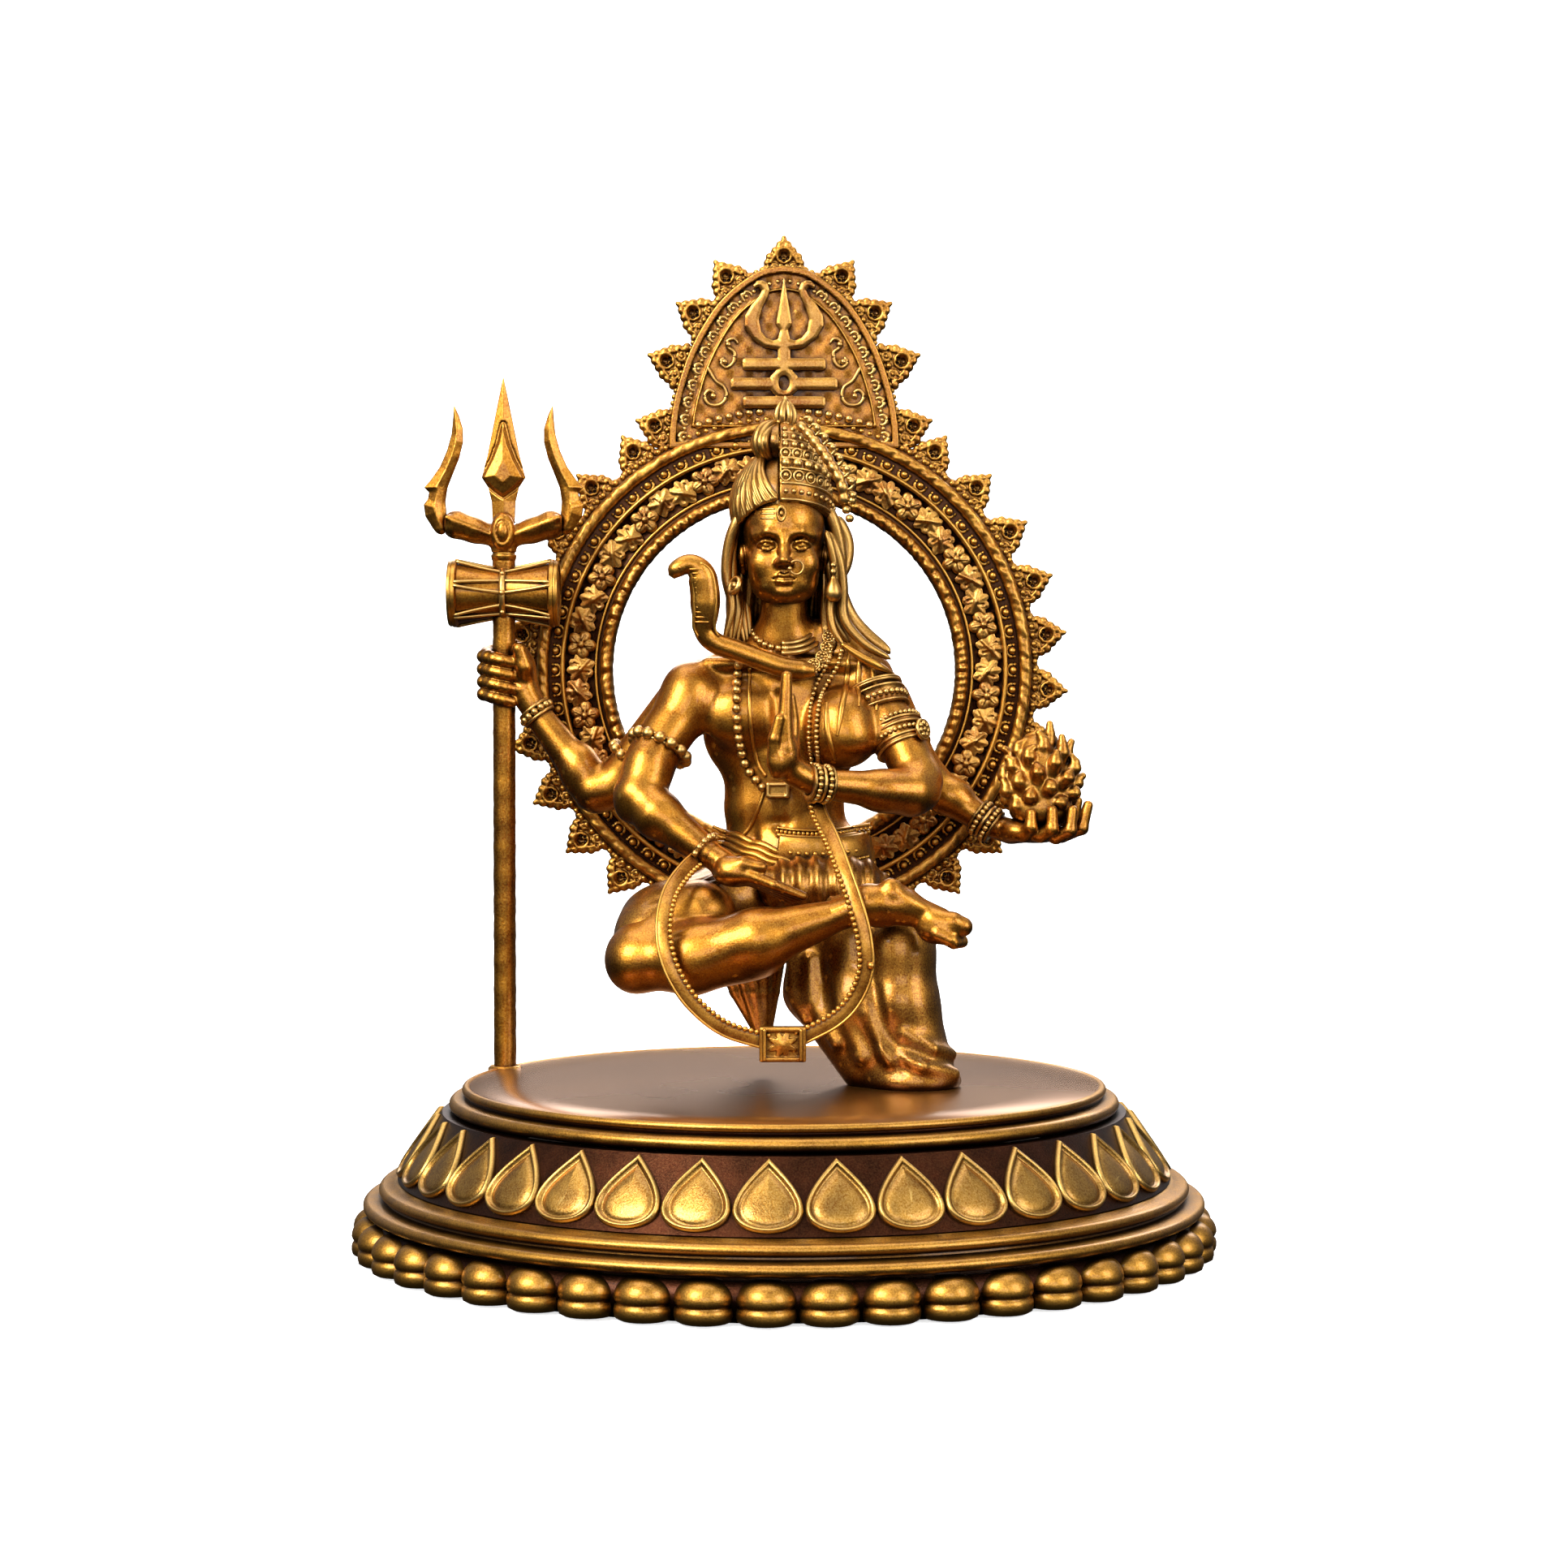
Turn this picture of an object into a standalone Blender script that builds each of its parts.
"""Seated four-armed deity on a round lotus base, with a pierced halo and a lift-out trident.

Every casting, ornament and screw is its own closed solid. All sizes are in millimetres and are
turned into metres when a mesh is written. +Z is up, -Y is the front, and the origin is the centre
of the underside of the felt pad.
"""
import bpy
import bmesh
import math
from mathutils import Vector, Matrix
from mathutils.bvhtree import BVHTree

MM = 0.001            # metres in a millimetre
GAP = 0.35            # clearance between neighbouring castings

# driving dimensions (mm)
BASE_R = 101.0        # outside of the bead rim
BEADS = 46            # beads round the foot of the base
PETALS = 36           # lotus petals round the base
PETAL_FOOT_R = 90.2   # petal band at its foot
PETAL_TIP_R = 79.8    # petal band at the petal tips
PLATE_R = 78.3        # moulding under the top disc
DISC_R = 75.3         # top disc
DISC_TOP = 38.8       # height of the disc the figure stands on

HALO_Z = 135.6        # halo centre height
HALO_FRONT = 39.4     # front face of the halo
HALO_THICK = 4.0
HALO_IN_R = 42.2      # clear opening of the halo
HALO_OUT_R = 60.8     # outside of its plain rim
FINIAL_TIP_R = 70.0   # tips of the leaf finials
FINIAL_STEP = 11.9    # degrees from one finial to the next
FINIAL_ROOT_R = 63.2  # where neighbouring finials meet
BORDER_HALF_TURN = 152.0  # the finials run this far up each side from the bottom
ARCH_APEX_Z = 235.1

SHAFT_X, SHAFT_Y = -68.0, 29.0
SHAFT_R = 2.55
SHAFT_FOOT_Z = 34.6
SHAFT_TOP_Z = 163.6
BORE_R = SHAFT_R + GAP

FACE = Vector((0, -1, 0))


# materials
def finish(name, colour, roughness, metallic):
    mat = bpy.data.materials.new(name)
    mat.use_nodes = True
    shader = mat.node_tree.nodes["Principled BSDF"]
    shader.inputs["Base Color"].default_value = (*colour, 1)
    shader.inputs["Roughness"].default_value = roughness
    shader.inputs["Metallic"].default_value = metallic
    return mat


FINISHES = {
    "gold": ((0.62, 0.36, 0.08), 0.34, 1.0),
    "bronze": ((0.34, 0.16, 0.04), 0.36, 1.0),
    "dark_bronze": ((0.16, 0.08, 0.04), 0.4, 1.0),
    "steel": ((0.5, 0.5, 0.52), 0.35, 1.0),
    "felt": ((0.03, 0.09, 0.05), 0.95, 0.0),
}


# mesh helpers
def to_object(name, bm, look, sharp=35):
    """Write a millimetre bmesh as one named object in metres."""
    bmesh.ops.scale(bm, vec=(MM, MM, MM), verts=bm.verts)
    mesh = bpy.data.meshes.new(name)
    bm.to_mesh(mesh)
    bm.free()
    mesh.shade_smooth()
    mesh.set_sharp_from_angle(angle=math.radians(sharp))
    obj = bpy.data.objects.new(name, mesh)
    bpy.context.scene.collection.objects.link(obj)
    mesh.materials.append(finish(name + "_finish", *FINISHES[look]))
    return obj


def evaluated_bmesh(obj):
    """The object as its modifiers leave it, in millimetres of the world."""
    graph = bpy.context.evaluated_depsgraph_get()
    graph.update()
    bm = bmesh.new()
    bm.from_object(obj, graph)
    bm.transform(obj.matrix_world)
    bmesh.ops.scale(bm, vec=(1 / MM, 1 / MM, 1 / MM), verts=bm.verts)
    return bm


def rewrite(obj, bm, sharp=35):
    """Put a millimetre bmesh back into an object that has no modifiers left."""
    obj.modifiers.clear()
    bmesh.ops.scale(bm, vec=(MM, MM, MM), verts=bm.verts)
    bm.to_mesh(obj.data)
    bm.free()
    obj.data.shade_smooth()
    obj.data.set_sharp_from_angle(angle=math.radians(sharp))


def basis(axis):
    """Two unit directions square to an axis."""
    axis = axis.normalized()
    side = axis.cross(Vector((0, 0, 1)))
    if side.length < 0.1:
        side = axis.cross(Vector((0, 1, 0)))
    side.normalize()
    return side, axis.cross(side)


def bridge(bm, first, second):
    count = len(first)
    for i in range(count):
        j = (i + 1) % count
        bm.faces.new((first[i], first[j], second[j], second[i]))


def turned(name, look, profile, segments=48, centre=(0, 0, 0), axis=(0, 0, 1), wave=None, closed=True):
    """Turn a profile of (radius, height) points. closed makes a ring, else the ends sit on the axis.

    wave(angle, index) gives an extra radius, for beads and petals.
    """
    axis = Vector(axis).normalized()
    u, v = basis(axis)
    if abs(axis.z) > 0.99:
        u, v = Vector((1, 0, 0)), Vector((0, 1, 0)) * (1 if axis.z > 0 else -1)
    origin = Vector(centre)
    bm = bmesh.new()
    rings = []
    for k, (radius, height) in enumerate(profile):
        ring = []
        for i in range(segments):
            a = 2 * math.pi * i / segments
            r = radius + (wave(a, k) if wave else 0)
            ring.append(bm.verts.new(origin + u * r * math.cos(a) + v * r * math.sin(a) + axis * height))
        rings.append(ring)
    for k in range(len(rings) - 1):
        bridge(bm, rings[k], rings[k + 1])
    if closed:
        bridge(bm, rings[-1], rings[0])
    else:
        bm.faces.new(rings[0][::-1])
        bm.faces.new(rings[-1])
    bmesh.ops.recalc_face_normals(bm, faces=bm.faces)
    return to_object(name, bm, look)


def plate(name, look, outline, front, back, bevel=0.0):
    """Extrude an outline of (x, z) points from one y to another."""
    bm = bmesh.new()
    near = [bm.verts.new((x, front, z)) for x, z in outline]
    far = [bm.verts.new((x, back, z)) for x, z in outline]
    bm.faces.new(near)
    bm.faces.new(far[::-1])
    bridge(bm, near, far)
    bmesh.ops.recalc_face_normals(bm, faces=bm.faces)
    if bevel:
        edges = [e for e in bm.edges if all(abs(v.co.y - front) < 1e-6 for v in e.verts)]
        bmesh.ops.bevel(bm, geom=edges, offset=bevel, segments=1, affect='EDGES')
    return to_object(name, bm, look)


def smooth_route(points, steps):
    """A Catmull-Rom curve through hand-placed points."""
    pts = [Vector(p) for p in points]
    pts = [2 * pts[0] - pts[1]] + pts + [2 * pts[-1] - pts[-2]]
    out = []
    for i in range(1, len(pts) - 2):
        a, b, c, d = pts[i - 1:i + 3]
        for s in range(steps):
            t = s / steps
            out.append(0.5 * (2 * b + (c - a) * t + (2 * a - 5 * b + 4 * c - d) * t * t
                              + (3 * b - a - 3 * c + d) * t ** 3))
    out.append(pts[-2])
    return out


def swept(name, look, route, width, depth, sides=6, facing=FACE, taper=None):
    """Carry an oval section along a route. width lies across, depth along the facing direction."""
    bm = bmesh.new()
    rings = []
    last = len(route) - 1
    for i, p in enumerate(route):
        ahead = (route[min(i + 1, last)] - route[max(i - 1, 0)]).normalized()
        across = ahead.cross(facing)
        if across.length < 0.25:
            across = ahead.cross(Vector((1, 0, 0)))
        across.normalize()
        out = across.cross(ahead).normalized()
        k = taper(i / last) if taper else 1.0
        ring = []
        for s in range(sides):
            a = 2 * math.pi * (s + 0.5) / sides
            ring.append(bm.verts.new(p + across * math.cos(a) * width / 2 * k
                                     + out * math.sin(a) * depth / 2 * k))
        rings.append(ring)
    for k in range(last):
        bridge(bm, rings[k], rings[k + 1])
    bm.faces.new(rings[0][::-1])
    bm.faces.new(rings[-1])
    bmesh.ops.recalc_face_normals(bm, faces=bm.faces)
    return to_object(name, bm, look)


def torus(name, look, centre, axis, major, minor, ring=18, tube=6, squash=1.0):
    """A plain ring about an axis, its tube stretched along the axis by squash."""
    profile = []
    for k in range(tube):
        a = 2 * math.pi * k / tube
        profile.append((major + minor * math.cos(a), minor * squash * math.sin(a)))
    return turned(name, look, profile, ring, centre, axis)


def limb(bm, p, q, rp, rq):
    """Add the hull of two balls: a tapered capsule."""
    part = bmesh.new()
    bmesh.ops.create_icosphere(part, subdivisions=2, radius=rp, matrix=Matrix.Translation(p))
    bmesh.ops.create_icosphere(part, subdivisions=2, radius=rq, matrix=Matrix.Translation(q))
    hull = bmesh.ops.convex_hull(part, input=part.verts)
    bmesh.ops.delete(part, geom=[v for v in hull["geom_interior"] if isinstance(v, bmesh.types.BMVert)],
                     context='VERTS')
    mesh = bpy.data.meshes.new("limb")
    part.to_mesh(mesh)
    part.free()
    bm.from_mesh(mesh)
    bpy.data.meshes.remove(mesh)


def ball(bm, centre, radii):
    place = Matrix.Translation(centre) @ Matrix.Diagonal((*radii, 1))
    bmesh.ops.create_icosphere(bm, subdivisions=3, radius=1, matrix=place)


def casting(name, look, limbs=(), balls=(), faces=600, voxel=1.1, smooth=6):
    """Blend capsules and ellipsoids into one smooth closed casting of about so many faces."""
    bm = bmesh.new()
    for p, q, rp, rq in limbs:
        limb(bm, Vector(p), Vector(q), rp, rq)
    for centre, radii in balls:
        ball(bm, Vector(centre), radii)
    obj = to_object(name, bm, look, 180)
    remesh = obj.modifiers.new("blend", 'REMESH')
    remesh.mode = 'VOXEL'
    remesh.voxel_size = voxel * MM
    soften = obj.modifiers.new("soften", 'SMOOTH')
    soften.factor = 0.5
    soften.iterations = smooth
    skin = evaluated_bmesh(obj)
    count = 2 * len(skin.faces)
    skin.free()
    thin = obj.modifiers.new("thin", 'DECIMATE')
    thin.ratio = min(1.0, faces / count)
    whole = evaluated_bmesh(obj)
    bmesh.ops.triangulate(whole, faces=whole.faces)
    rewrite(obj, whole, 180)
    return obj


def keep_largest(bm):
    """Drop every island of the mesh but the biggest."""
    left = set(bm.verts)
    groups = []
    while left:
        stack = [left.pop()]
        group = set(stack)
        while stack:
            for edge in stack.pop().link_edges:
                for vert in edge.verts:
                    if vert in left:
                        left.remove(vert)
                        group.add(vert)
                        stack.append(vert)
        groups.append(group)
    groups.sort(key=len, reverse=True)
    for group in groups[1:]:
        bmesh.ops.delete(bm, geom=list(group), context='VERTS')


def swollen(obj, gap):
    """A hidden copy of a piece, grown by the clearance, for cutting its neighbours."""
    bm = evaluated_bmesh(obj)
    bmesh.ops.triangulate(bm, faces=bm.faces)
    bm.normal_update()
    moves = [(v, v.co + v.normal * gap * min(v.calc_shell_factor(), 1.6)) for v in bm.verts]
    for vert, place in moves:
        vert.co = place
    cutter = to_object(obj.name + "_cutter", bm, "steel")
    cutter.hide_render = True
    cutter.display_type = 'WIRE'
    return cutter


def carve(obj, *neighbours, gap=0.45):
    """Cut a piece back from its neighbours, so that the castings meet with a hairline gap."""
    for other in neighbours:
        cutter = swollen(other, gap)
        cut = obj.modifiers.new("fit", 'BOOLEAN')
        cut.operation = 'DIFFERENCE'
        cut.solver = 'EXACT'
        cut.object = cutter
        bm = evaluated_bmesh(obj)
        keep_largest(bm)
        bmesh.ops.triangulate(bm, faces=bm.faces)
        bmesh.ops.dissolve_degenerate(bm, dist=0.02, edges=bm.edges)
        rewrite(obj, bm)
        bpy.data.objects.remove(cutter)
    return obj


def drill(obj, centre, axis, radius, length, sides=16):
    """Cut a round hole."""
    cutter = turned("drill", "steel", [(radius, -length / 2), (radius, length / 2)], sides, centre, axis,
                    closed=False)
    cut = obj.modifiers.new("hole", 'BOOLEAN')
    cut.operation = 'DIFFERENCE'
    cut.solver = 'EXACT'
    cut.object = cutter
    bm = evaluated_bmesh(obj)
    bmesh.ops.triangulate(bm, faces=bm.faces)
    rewrite(obj, bm)
    bpy.data.objects.remove(cutter)


def trim(obj, point, normal):
    """Slice off what lies on the normal's side of a plane, and close the cut."""
    bm = evaluated_bmesh(obj)
    geom = bm.verts[:] + bm.edges[:] + bm.faces[:]
    cut = bmesh.ops.bisect_plane(bm, geom=geom, dist=1e-5, plane_co=point, plane_no=normal,
                                 clear_outer=True)
    rim = [e for e in cut["geom_cut"] if isinstance(e, bmesh.types.BMEdge)]
    bmesh.ops.holes_fill(bm, edges=rim, sides=0)
    bmesh.ops.triangulate(bm, faces=bm.faces)
    keep_largest(bm)
    rewrite(obj, bm)
    return obj


def surface_in_front(objects):
    """A function that finds how far forward the given pieces reach at any x and z."""
    trees = []
    for obj in objects:
        bm = evaluated_bmesh(obj)
        trees.append(BVHTree.FromBMesh(bm))
        bm.free()

    def front(x, z, fallback):
        found = [tree.ray_cast(Vector((x, -90, z)), Vector((0, 1, 0)))[0] for tree in trees]
        hits = [hit.y for hit in found if hit is not None]
        return min(hits) if hits else fallback
    return front


def lay(points, objects, clear, fallback=10.0):
    """Lay an (x, z) route on the front of the given pieces, held clear of them all the way."""
    front = surface_in_front(objects)
    flat = smooth_route([(x, 0, z) for x, z in points], 3)
    depth = []
    for p in flat:
        around = [front(p.x + dx, p.z + dz, fallback) for dx, dz in
                  ((0, 0), (1.2, 0), (-1.2, 0), (0, 1.2), (0, -1.2))]
        depth.append(min(around))
    eased = []
    for i in range(len(depth)):
        near = depth[max(i - 1, 0):i + 2]
        eased.append(min(depth[i], sum(near) / len(near)))
    return [Vector((p.x, y - clear, p.z)) for p, y in zip(flat, eased)]


# base
def build_base():
    turned("felt_pad", "felt", [(90.5, 0), (90.5, 1.0)], 36, closed=False)
    cover = turned("bottom_cover", "dark_bronze", [(91.4, 1.3), (91.4, 3.4)], 36, closed=False)
    plinth = turned("base_plinth", "gold", [
        (95.2, 1.0), (95.2, 10.3), (98.2, 10.6), (98.2, 12.8), (93.8, 13.3), (93.8, 14.2), (94.6, 14.6),
        (94.6, 16.6), (93.8, 17.1), (70.0, 17.1), (70.0, 13.0), (90.0, 13.0), (93.2, 1.0)], 36)

    def beads(angle, index):
        if index > 2:
            return 0
        lift = abs(math.sin(angle * BEADS / 2))
        return -1.4 * (1 - lift)
    turned("bead_rim", "gold", [
        (99.4, 0.6), (BASE_R, 5.0), (99.0, 9.8), (95.6, 9.8), (95.6, 0.6)],
        BEADS * 2, wave=beads)

    def petals(angle, index):
        if index > 2:
            return 0
        return -0.9 * abs(math.cos(angle * PETALS / 2)) * (1 if index < 2 else 0.6)
    turned("lotus_petal_band", "bronze", [
        (PETAL_FOOT_R, 17.5), (PETAL_FOOT_R - 4.4, 23.5), (PETAL_TIP_R, 32.8),
        (PETAL_TIP_R - 4.2, 32.8), (PETAL_FOOT_R - 4.6, 17.5)], PETALS * 2, wave=petals)
    top = turned("top_plate", "bronze", [
        (PLATE_R, 33.2), (PLATE_R, 35.8), (PLATE_R - 0.8, 36.4), (74.2, 36.5), (74.2, 37.2),
        (DISC_R, 37.5), (DISC_R, 38.3), (DISC_R - 0.7, DISC_TOP)], 40, closed=False)
    for side, x in (("left", -60.0), ("right", 60.0)):
        drill(cover, (x, 0, 2.4), (0, 0, 1), 2.0, 6, 12)
        screw("cover_screw_" + side, (x, 0, 1.3), 1.65, 3.1, 8.0, 0.0)
    for side, (x, y) in (("front", (27.0, -11.0)), ("rear", (29.5, -2.5))):
        drill(top, (x, y, 36), (0, 0, 1), 1.9, 10, 12)
        screw("figure_screw_" + side, (x, y, 31.0), 1.5, 3.2, 12.4, 1.9)
    drill(top, (SHAFT_X, SHAFT_Y, 36), (0, 0, 1), 4.6, 12, 16)
    turned("trident_socket", "gold", [
        (BORE_R, 33.4), (BORE_R, DISC_TOP + 1.2), (5.0, DISC_TOP + 1.2), (5.4, DISC_TOP + 0.35),
        (4.25, DISC_TOP + 0.3), (4.25, 33.4)], 16, (SHAFT_X, SHAFT_Y, 0))
    return top


def screw(name, foot, shank, head, length, head_height):
    """A pan-head screw standing on its head; with no head height it is a plain countersunk one."""
    x, y, z = foot
    if head_height:
        profile = [(head, z), (head, z + head_height), (shank, z + head_height), (shank, z + length)]
    else:
        profile = [(shank, z), (shank, z + length)]
    return turned(name, "steel", profile, 12, (x, y, 0), closed=False)


# trident and drum
def build_trident():
    x, y = SHAFT_X, SHAFT_Y
    turned("trident_shaft", "gold", [(SHAFT_R, SHAFT_FOOT_Z), (SHAFT_R, SHAFT_TOP_Z)], 14, (x, y, 0),
           closed=False)
    guard = [(-15.8, 168.5), (-15.4, 166.2), (-8.0, 163.9), (0, 163.9), (8.0, 163.9), (15.4, 166.2),
             (15.8, 168.5), (14.0, 170.6), (9.5, 169.6), (4.4, 169.9), (0, 170.6), (-4.4, 169.9),
             (-9.5, 169.6), (-14.0, 170.6)]
    plate("trident_guard", "gold", [(x + px, z) for px, z in guard], y - 2.2, y + 2.2, 0.5)
    blade = [(-1.4, 170.95), (-2.9, 173.2), (-1.9, 175.0), (-5.7, 181.0), (0, 206.2), (5.7, 181.0),
             (1.9, 175.0), (2.9, 173.2), (1.4, 170.95)]
    plate("trident_blade", "gold", [(x + px, z) for px, z in blade], y - 1.6, y + 1.6, 0.5)
    prong = [(12.4, 171.1), (10.4, 182.0), (10.2, 190.6), (13.2, 199.6), (14.4, 191.0), (16.0, 183.0),
             (20.4, 178.2), (18.0, 177.4), (19.6, 173.0), (16.8, 174.0), (15.9, 170.6)]
    for side, sign in (("left", -1), ("right", 1)):
        plate("trident_prong_" + side, "gold", [(x + sign * px, z) for px, z in prong],
              y - 1.5, y + 1.5, 0.4)
    drum = turned("damaru_body", "gold", [
        (7.6, -12.4), (8.2, -11.9), (8.0, -9.0), (6.2, -2.0), (6.2, 2.0), (8.0, 9.0), (8.2, 11.9),
        (7.6, 12.4)], 20, (x, y, 154.2), (1, 0, 0), closed=False)
    drill(drum, (x, y, 154.2), (0, 0, 1), BORE_R, 30, 14)
    for side, sign in (("left", -1), ("right", 1)):
        turned("damaru_skin_" + side, "bronze", [(8.1, 0), (8.1, 0.7), (6.6, 1.1)], 20,
               (x + sign * 12.75, y, 154.2), (sign, 0, 0), closed=False)


# figure
def build_body():
    torso = casting("torso", "gold", [
        ((-19.5, 16, 129), (19.5, 16, 129), 6.6, 6.6),
        ((0, 15.5, 128), (0, 14.5, 149.4), 6.3, 5.6),
    ], [
        ((0, 17, 86), (19.5, 12, 10.5)),
        ((1, 17, 101), (14.5, 10, 12)),
        ((0, 16, 119), (20, 10.5, 14)),
        ((12.5, 8, 119.5), (9, 7, 9)),
        ((-9.5, 9.5, 122), (8.5, 5, 6.5)),
    ], 540)
    head = casting("head", "gold", [((0, 1.6, 162.4), (0, -0.6, 158.9), 1.0, 1.5)], [
        ((0, 12.2, 164.4), (9.8, 10.6, 11.4)),
        ((0, 8.6, 157.4), (7.8, 8.4, 6.6)),
    ], 300, 0.9, 3)
    carve(head, torso)
    crossed = casting("crossed_leg", "bronze", [
        ((-10, 12, 84), (-33.0, -9, 71), 9.8, 7.8),
        ((-33.4, -13.5, 68.8), (-20, -16.5, 70.0), 7.2, 8.3),
        ((-20, -16.5, 70.0), (-6, -18.5, 73.6), 8.3, 7.6),
        ((-6, -18.5, 73.6), (14, -19.5, 79.4), 7.6, 3.7),
        ((14, -19.5, 79.4), (23.5, -18.5, 83.6), 4.0, 4.3),
        ((23.5, -18.5, 83.0), (34.5, -19.0, 79.6), 4.8, 3.8),
        ((34.5, -19.0, 79.0), (40.0, -19.4, 76.6), 3.9, 2.8),
    ], (), 520)
    carve(crossed, torso)
    draped = casting("draped_leg", "bronze", [
        ((9, 10, 84), (26.5, -3.5, 74), 9.6, 7.6),
        ((26.5, -3.5, 72), (26.0, -6, 56), 8.2, 9.4),
        ((18, -2, 66), (17.5, -4, 53), 8.8, 8.0),
        ((26, -6, 56), (29.0, -8, 43), 9.6, 10.4),
        ((17.5, -4, 53), (22.0, -7, 44), 8.0, 7.6),
    ], [((29.0, -8, 41), (12.0, 10.4, 5))], 420)
    trim(draped, (0, 0, DISC_TOP + 0.3), (0, 0, -1))
    carve(draped, torso, crossed)
    tail = casting("hanging_tail", "dark_bronze", [
        ((-14.5, 23, 72), (-5.5, 22, 48.5), 3.6, 2.0),
        ((-4.0, 23, 72), (-5.0, 22, 48.5), 3.6, 2.0),
        ((-9.2, 23, 72), (-5.2, 22, 47.0), 3.6, 2.0),
    ], (), 130, 1.0, 3)
    carve(tail, torso, crossed, draped)
    for x, y in ((27.0, -11.0), (29.5, -2.5)):
        drill(draped, (x, y, 40), (0, 0, 1), 1.85, 8, 12)
    return torso, head, crossed, draped


def build_arms(torso, crossed, draped):
    front_right = casting("front_right_arm", "gold", [
        ((-23.5, 11.5, 130), (-35.5, 1, 105.5), 7.2, 5.6),
        ((-35.5, 1, 105.5), (-18, -7.5, 93.2), 5.6, 3.8),
        ((-18, -7.5, 93.2), (-11, -9.5, 88.6), 3.7, 4.2),
        ((-11, -9.5, 87.6), (2.8, -11.5, 84.2), 3.4, 1.6),
        ((-12, -11, 91.4), (-6.0, -12, 90.2), 1.9, 1.5),
    ], (), 320)
    rear_right = casting("rear_right_arm", "gold", [
        ((-24.5, 21, 127), (-43.5, 24, 105.5), 6.0, 5.3),
        ((-43.5, 24, 105.5), (-60.6, 27, 126.2), 5.3, 3.4),
    ], (), 200)
    fist = casting("rear_right_fist", "gold", [
        ((-68, 28.4, 131.2), (-68, 28.4, 139.0), 6.0, 5.6),
        ((-61.6, 27.2, 128.2), (-66, 28, 132), 3.4, 4.6),
        ((-64.2, 24.6, 134.0), (-63.6, 25.0, 140.8), 1.9, 1.7),
    ], (), 220, 0.9, 3)
    front_left = casting("front_left_arm", "gold", [
        ((23.5, 11.5, 130), (32.5, 0.5, 106.5), 7.0, 5.8),
        ((32.5, 0.5, 106.5), (6.6, -11, 109.6), 5.8, 3.7),
    ], (), 230)
    palm = casting("front_left_hand", "gold", [
        ((3.4, -12.2, 110.4), (0.8, -13.0, 116), 3.3, 3.6),
        ((0.6, -11.0, 116), (0.6, -12.0, 133.0), 2.6, 1.6),
        ((0.6, -14.5, 116), (0.6, -14.6, 131.0), 2.6, 1.5),
        ((-0.6, -16.0, 114.5), (-1.0, -16.6, 123.2), 2.0, 1.4),
    ], (), 220, 0.8, 3)
    rear_left = casting("rear_left_arm", "gold", [
        ((24.5, 21, 127), (34.0, 22, 109.5), 6.0, 5.3),
        ((34.0, 22, 109.5), (50.0, 18, 98.4), 5.3, 3.6),
    ], (), 180)
    open_hand = casting("rear_left_hand", "gold", [
        ((50.0, 18, 98.4), (56, 17.0, 96.0), 3.3, 3.2),
        ((56, 17.0, 95.8), (66, 16.0, 95.6), 3.2, 2.6),
        ((56.6, 12.5, 96.4), (58.6, 10.8, 101.0), 1.7, 1.3),
        ((64, 13.0, 96.4), (67.4, 11.8, 102.0), 1.8, 1.3),
        ((66, 16.0, 96.4), (71.4, 15.6, 103.2), 1.8, 1.4),
        ((65, 19.5, 96.4), (70.0, 20.6, 102.8), 1.8, 1.4),
    ], (), 280, 0.8, 2)
    flame = casting("flame", "gold", [
        ((61.5, 16.5, 105.0), (57.0, 17, 121.5), 7.4, 1.6),
        ((61.5, 16.5, 105.0), (62.6, 17, 123.6), 7.4, 1.4),
        ((62.5, 16.5, 105.0), (69.6, 17, 117.0), 7.0, 1.6),
        ((61.0, 16.5, 104.0), (53.6, 17, 113.0), 6.4, 1.6),
    ], (), 200, 0.9, 2)
    carve(front_right, torso, crossed)
    carve(rear_right, torso, front_right)
    carve(fist, rear_right)
    drill(fist, (SHAFT_X, SHAFT_Y, 135), (0, 0, 1), BORE_R, 30, 14)
    carve(front_left, torso)
    carve(palm, front_left, torso)
    carve(rear_left, torso, front_left)
    carve(open_hand, rear_left)
    carve(flame, open_hand)
    return front_right, rear_right, fist, front_left, palm, rear_left, open_hand


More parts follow.
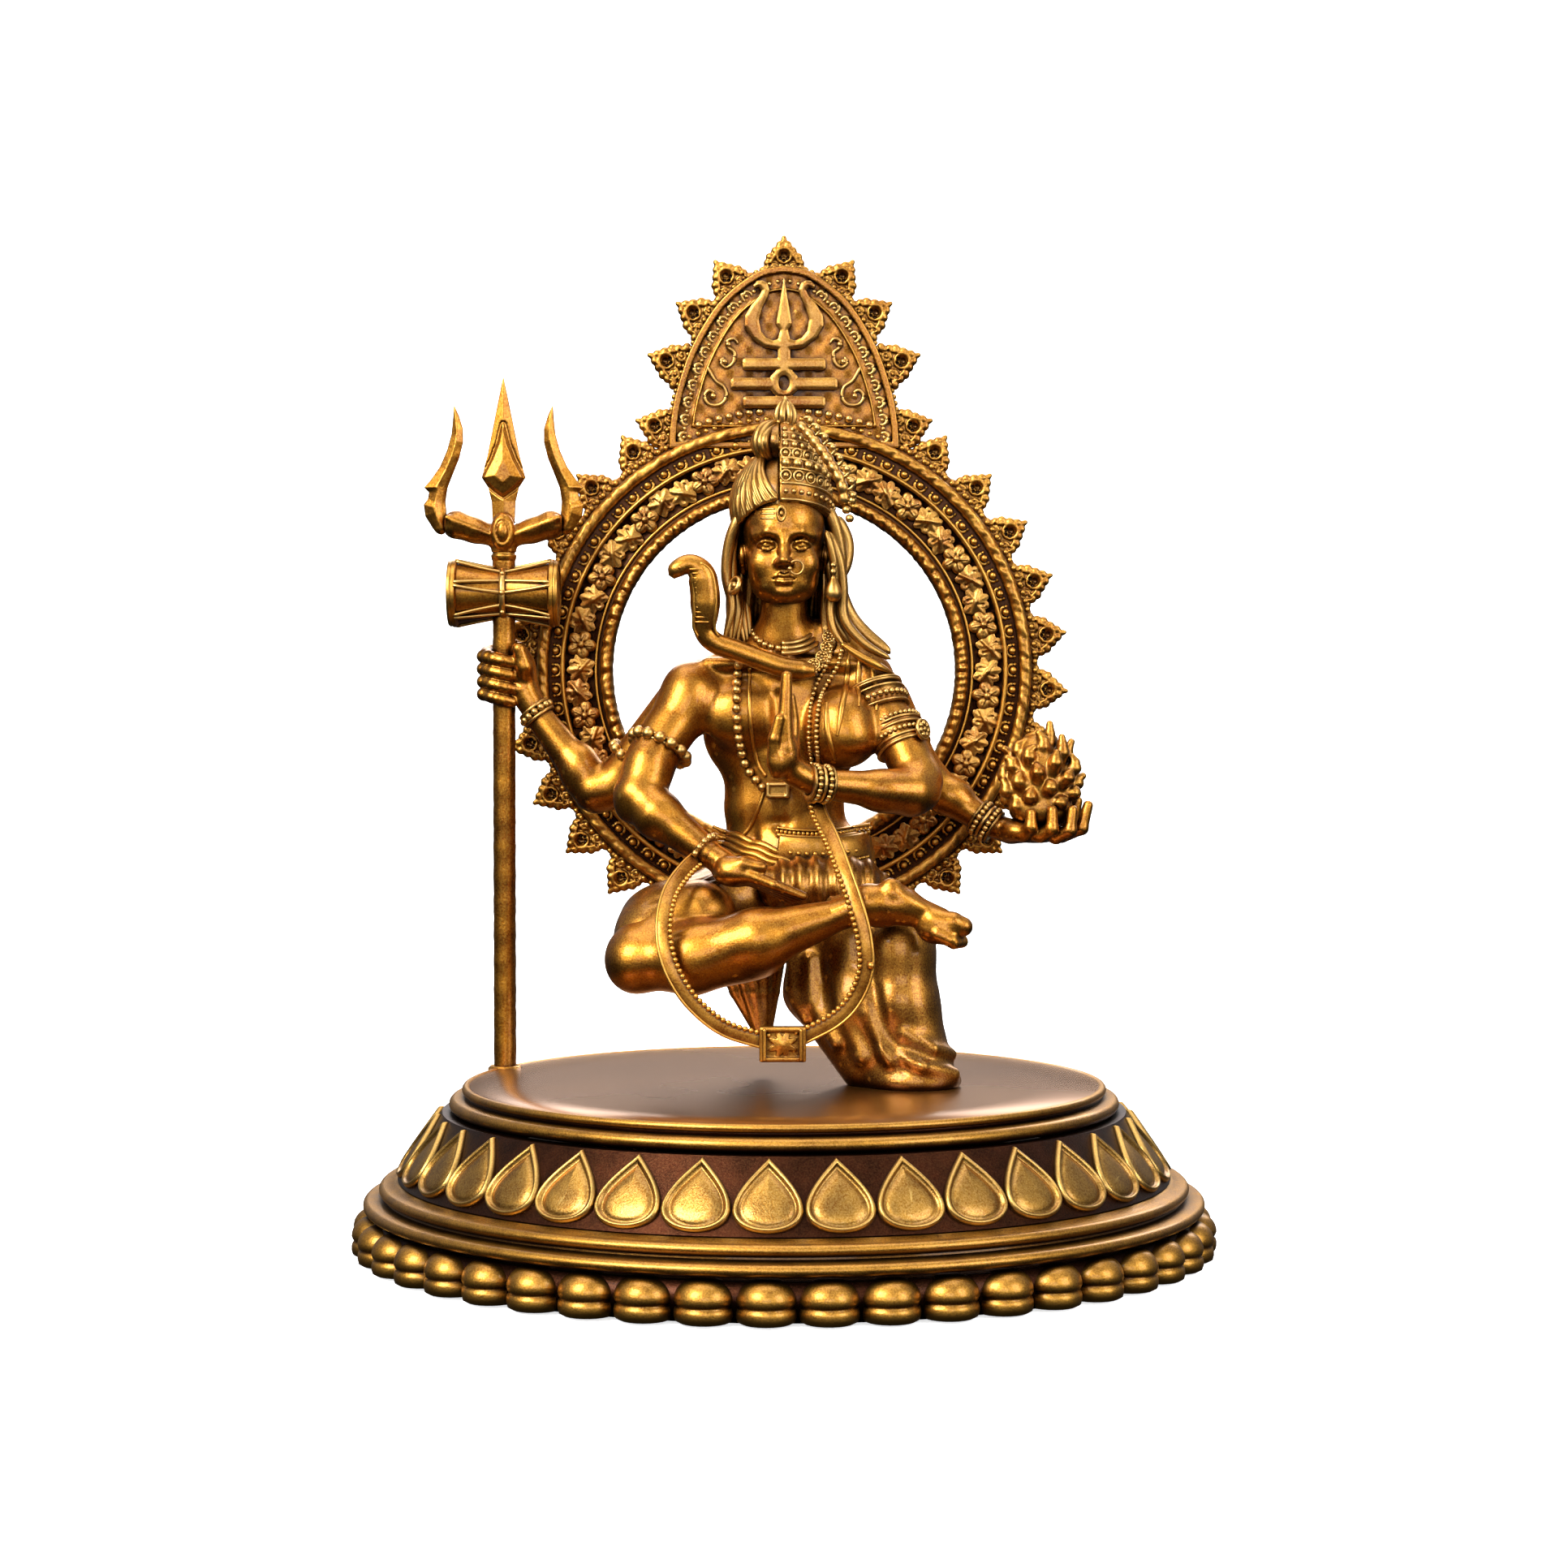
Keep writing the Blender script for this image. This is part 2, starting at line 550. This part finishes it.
def build_hair(torso, head):
    hair = casting("hair", "bronze", [
        ((-8.6, 8, 171.5), (-7.6, 12, 182.5), 3.4, 4.0),
        ((-3.6, 6.5, 174.5), (-4.2, 12, 183.0), 2.4, 3.6),
        ((-11.6, 13, 168), (-13.4, 14.5, 150), 3.6, 3.2),
        ((-13.4, 14.5, 150), (-15.5, 13, 141.5), 3.2, 2.4),
        ((11.5, 15, 170), (14.8, 15, 158), 3.6, 3.0),
        ((14.8, 15, 158), (19.5, 16, 144.5), 3.0, 2.6),
        ((19.5, 16, 144.5), (25.2, 15, 139.4), 2.6, 2.0),
    ], [((0, 20.5, 168), (12.4, 9.4, 13.6))], 420, 1.0, 4)
    carve(hair, head, torso)
    knot = casting("topknot", "bronze", (), [((-5.2, 12.5, 189.4), (5.4, 6.0, 5.6))], 120, 1.0, 3)
    trim(knot, (-0.9, 0, 0), (1, 0, 0))
    carve(knot, hair)
    crown = turned("crown", "gold", [
        (12.6, 171.6), (13.0, 174.4), (12.0, 178.6), (10.0, 182.8), (7.4, 186.8), (5.2, 190.0),
        (3.4, 192.6), (2.4, 195.4), (1.1, 198.4), (0.4, 200.5)], 16, (0, 12, 0), closed=False)
    trim(crown, (-0.5, 0, 0), (-1, 0, 0))
    carve(crown, head, hair)
    strand = swept("hair_ornament", "gold", smooth_route(
        [(7.6, 8.0, 195.0), (10.8, 5.0, 190.4), (14.2, 3.0, 183.0), (16.6, 3.0, 175.0)], 4), 4.2, 2.2, 6)
    carve(strand, crown, hair)
    ring = torus("earring_right", "gold", (-12.2, 7.2, 155.2), (1, 0.5, 0), 2.6, 0.8, 14, 6)
    drop = turned("earring_left", "gold", [(0.5, 159.0), (1.6, 157.6), (1.0, 156.6), (2.2, 154.2),
                                           (1.4, 152.2), (0.4, 151.4)], 10, (12.6, 7.4, 0), closed=False)
    carve(ring, head, hair)
    carve(drop, head, hair)
    return hair, crown


# ornaments
def build_ornaments(torso, head, hair, crossed, draped, arms):
    front_right, rear_right, fist, front_left, palm, rear_left, open_hand = arms
    armlets = {
        "armlet_front_right": ((-30.0, 5.8, 116.8), (-12, -10.5, -24.5), 7.6, 1.3),
        "armlet_rear_right": ((-36.3, 22.9, 113.6), (-19, 3, -21.5), 6.6, 1.0),
        "armlet_front_left": ((28.0, 6.0, 118.2), (9, -11, -23.5), 7.8, 1.5),
        "bracelet_front_right": ((-19.8, -6.6, 94.4), (17.5, -8.5, -12.3), 5.0, 0.9),
        "bracelet_rear_right": ((-58.6, 26.6, 123.8), (-17.1, 3, 20.7), 4.9, 0.9),
        "bracelet_front_left": ((9.6, -9.9, 109.4), (-25.9, -11.5, 3.1), 5.2, 1.0),
        "bracelet_rear_left": ((48.2, 18.5, 99.6), (16, -4, -11.1), 5.2, 1.0),
    }
    rings = {}
    for name, (centre, axis, major, minor) in armlets.items():
        rings[name] = torus(name, "gold", centre, axis, major, minor, 14, 5, 1.7)
    carve(rings["armlet_front_right"], torso, front_right, rear_right)
    carve(rings["armlet_rear_right"], rear_right, front_right, torso)
    carve(rings["armlet_front_left"], torso, front_left, rear_left)
    carve(rings["bracelet_front_right"], front_right, torso)
    carve(rings["bracelet_rear_right"], rear_right, fist)
    carve(rings["bracelet_front_left"], front_left, palm, torso)
    carve(rings["bracelet_rear_left"], rear_left, open_hand)
    collar = torus("necklace_collar", "gold", (0, 12.0, 142.2), (0, -0.42, 1), 9.0, 1.5, 24, 6, 1.3)
    carve(collar, torso, head, hair)

    route = lay([(-25.0, 151.5), (-21.6, 143.6), (-15.0, 141.2), (-9.4, 139.6), (-4.4, 137.5), (0.6, 135.8),
                 (5.6, 135.2)], [torso, front_right], 2.0)
    route = [Vector((-24.6, 3.5, 157.0)), Vector((-24.4, 3.2, 153.6))] + route[3:]

    def hood(t):
        return 1.0 + 1.1 * math.exp(-(t / 0.16) ** 2)
    cobra = swept("cobra", "bronze", smooth_route(route[::2] + [route[-1]], 2), 3.6, 3.2, 8, taper=hood)
    carve(cobra, torso, hair, front_right, head, collar)
    mala = swept("rudraksha_mala", "gold", lay(
        [(-9.6, 133.6), (-11.2, 130.0), (-11.0, 124.0), (-10.2, 116.0), (-7.6, 110.6), (-4.0, 107.6)],
        [torso, cobra], 1.5), 2.2, 2.2, 6)
    carve(mala, torso, cobra, palm, rings["bracelet_front_left"])
    pearls = swept("pearl_strands", "gold", lay(
        [(12.6, 142.4), (10.4, 136.0), (7.6, 129.6), (7.0, 124.6), (7.0, 119.4)],
        [torso], 1.2), 3.0, 1.6, 6)
    carve(pearls, torso, cobra, palm, front_left, collar, rings["bracelet_front_left"], hair)
    belt = swept("waist_belt", "gold", lay(
        [(-1.6, 92.6), (4.0, 92.4), (10.0, 92.4), (15.5, 92.8), (18.6, 93.2)], [torso], 0.5), 9.0, 1.6, 6)
    carve(belt, torso, front_right, front_left, crossed, draped)
    sash = swept("waist_sash", "bronze", lay(
        [(-15.4, 96.6), (-11.0, 95.0), (-6.0, 94.4), (-2.4, 93.8)], [torso], 0.9), 3.6, 2.6, 6)
    carve(sash, torso, front_right, belt, crossed)

    loop = [(9.4, -6.0, 103.0), (12.2, -12.5, 97.0), (14.6, -20.0, 90.0), (16.8, -25.8, 82.0),
            (18.0, -27.4, 74.5), (18.2, -27.6, 67.5), (15.8, -27.8, 61.1), (11.2, -28.0, 56.5),
            (5.6, -28.0, 53.0)]
    back = [(-7.4, -28.0, 52.4), (-13.4, -28.0, 54.8), (-20.4, -28.0, 60.0), (-24.6, -27.6, 66.4),
            (-26.6, -26.6, 72.8), (-26.6, -23.4, 79.6), (-25.2, -18.0, 85.4), (-22.0, -11.5, 90.4)]
    right = swept("garland_strap_right", "gold", smooth_route(loop, 2), 3.6, 1.8, 6)
    left = swept("garland_strap_left", "gold", smooth_route(back, 2), 3.6, 1.8, 6)
    carve(right, torso, crossed, front_left, belt, rings["bracelet_front_left"])
    carve(left, torso, crossed, front_right)
    plate("garland_buckle", "gold", [(-5.6, 47.2), (5.0, 47.2), (5.0, 54.8), (-5.6, 54.8)], -30.2, -26.8, 0.5)
    clasp("garland_buckle", right, left)
    return rings


def clasp(name, *straps):
    """Cut the strap ends back from the buckle that joins them."""
    buckle = bpy.data.objects[name]
    for strap in straps:
        carve(strap, buckle)


# halo
def build_halo():
    front, back = HALO_FRONT, HALO_FRONT + HALO_THICK
    centre = (0, 0, HALO_Z)
    turned("halo_ring", "gold", [
        (HALO_IN_R, -back), (HALO_IN_R, -front - 0.8), (45.6, -front), (46.4, -front - 1.2),
        (53.8, -front - 1.2), (54.6, -front), (HALO_OUT_R, -front - 0.6), (HALO_OUT_R, -back)], 36, centre, (0, -1, 0))
    seat_r = HALO_OUT_R + GAP
    finials = int(2 * BORDER_HALF_TURN / FINIAL_STEP)
    outline = []
    inner = []
    for i in range(finials * 3 + 1):
        a = math.radians(-BORDER_HALF_TURN + 2 * BORDER_HALF_TURN * i / (finials * 3))
        radius = FINIAL_ROOT_R if i % 3 == 0 else FINIAL_TIP_R - 1.0
        outline.append((radius * math.sin(a), HALO_Z - radius * math.cos(a)))
        if i % 3 == 0:
            inner.append((seat_r * math.sin(a), HALO_Z - seat_r * math.cos(a)))
    plate("halo_border", "bronze", outline + inner[::-1], front + 0.5, back - 0.5)
    foot = [(seat_r * math.sin(math.radians(t)), HALO_Z + seat_r * math.cos(math.radians(t)))
            for t in range(-25, 26, 5)]
    side = [(28.2, 193.0), (26.5, 204.5), (22.6, 215.7), (15.8, 226.4), (7.0, 233.3)]
    arch = foot + side + [(0, ARCH_APEX_Z)] + [(-x, z) for x, z in side[::-1]]
    plate("arch_panel", "bronze", arch, front + 0.2, back, 0.4)
    crest_in = [(28.7, 192.2)] + [(x * 1.02 + GAP, z + 0.45) for x, z in side[1:]] + [(0, ARCH_APEX_Z + 0.7)]
    crest_out = [(36.4, 197.2), (30.8, 203.0), (33.5, 213.3), (26.6, 216.4), (26.5, 226.0), (19.2, 227.6),
                 (17.1, 236.3), (9.2, 236.2), (0, 242.2)]
    crest_foot = (29.6, 192.6)
    half_crest = [crest_foot] + crest_out
    outer = half_crest + [(-x, z) for x, z in half_crest[-2::-1]]
    inner_edge = [(-x, z) for x, z in crest_in[:-1]] + crest_in[::-1]
    plate("arch_border", "bronze", outer + inner_edge, front + 0.6, back - 0.4)
    emblem = [(-1.6, 199.0), (-1.6, 214.8), (-9.2, 216.2), (-10.6, 222.0), (-9.4, 229.8), (-6.4, 229.4),
              (-7.2, 220.2), (-1.4, 218.6), (-1.7, 226.0), (0, 232.0), (1.7, 226.0), (1.4, 218.6),
              (7.2, 220.2), (6.4, 229.4), (9.4, 229.8), (10.6, 222.0), (9.2, 216.2), (1.6, 214.8),
              (1.6, 199.0)]
    plate("arch_trident", "gold", emblem, front - 1.4, front - 0.15, 0.2)


def build_halo_bracket(torso):
    """The block that holds the foot of the ring off the figure's back."""
    bracket = plate("halo_bracket", "dark_bronze", [(-5, 79.5), (5, 79.5), (5, 91.0), (-5, 91.0)],
                    26.0, HALO_FRONT - GAP)
    carve(bracket, torso)


# assembly
def main():
    for obj in list(bpy.data.objects):
        bpy.data.objects.remove(obj)
    build_base()
    build_trident()
    torso, head, crossed, draped = build_body()
    arms = build_arms(torso, crossed, draped)
    hair, crown = build_hair(torso, head)
    build_ornaments(torso, head, hair, crossed, draped, arms)
    build_halo()
    build_halo_bracket(torso)


main()
